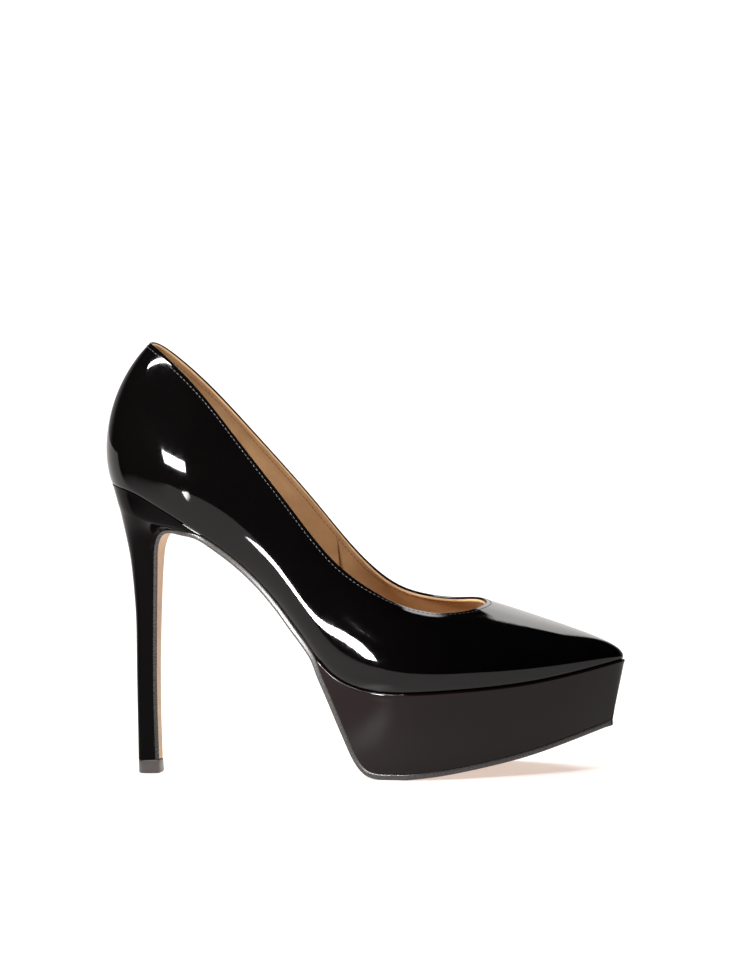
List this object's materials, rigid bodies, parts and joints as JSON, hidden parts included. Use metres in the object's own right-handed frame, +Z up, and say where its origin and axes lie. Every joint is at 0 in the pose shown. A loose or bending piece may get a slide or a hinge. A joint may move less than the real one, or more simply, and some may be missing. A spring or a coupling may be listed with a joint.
{
  "type": "platform pump shoe",
  "caption": "Pointed-toe high heel platform pump with a patent upper, leather lining, covered platform and slim covered stiletto heel.",
  "frame": {"origin": "centre of the bounding box in plan, on the floor the shoe stands on", "axes": "+X towards the toe, +Y towards the inner (medial) side of the foot, +Z up"},
  "size_m": [0.2332, 0.0826, 0.1948],
  "materials": {
    "patent_leather": "high-gloss patent",
    "lining_leather": "smooth matt kid",
    "sole_leather": "smooth, edge inked black",
    "lining_tape": "woven",
    "stiffener_board": "matt",
    "cork_filler": "granular",
    "foam": "open cell",
    "platform_core": "raw",
    "heel_plastic": "moulded",
    "top_piece": "satin",
    "steel": "zinc plated"
  },
  "bodies": {
    "root": {"patent_upper": "patent_leather", "quarter_lining": "lining_leather", "vamp_lining": "lining_leather", "topline_tape": "lining_tape", "heel_counter": "stiffener_board", "toe_puff": "stiffener_board", "insole_board": "stiffener_board", "steel_shank": "steel", "shank_rivet_1": "steel", "shank_rivet_2": "steel", "forepart_filler": "cork_filler", "sock_foam": "foam", "sock_lining": "lining_leather", "outsole": "sole_leather", "platform_core": "platform_core", "platform_cover": "patent_leather", "heel_block": "heel_plastic", "heel_cover": "patent_leather", "heel_tube": "steel", "heel_screw": "steel", "heel_nail_1": "steel", "heel_nail_2": "steel", "heel_nail_3": "steel", "heel_nail_4": "steel", "top_piece": "top_piece", "top_piece_pin": "steel"}
  },
  "joints": []
}
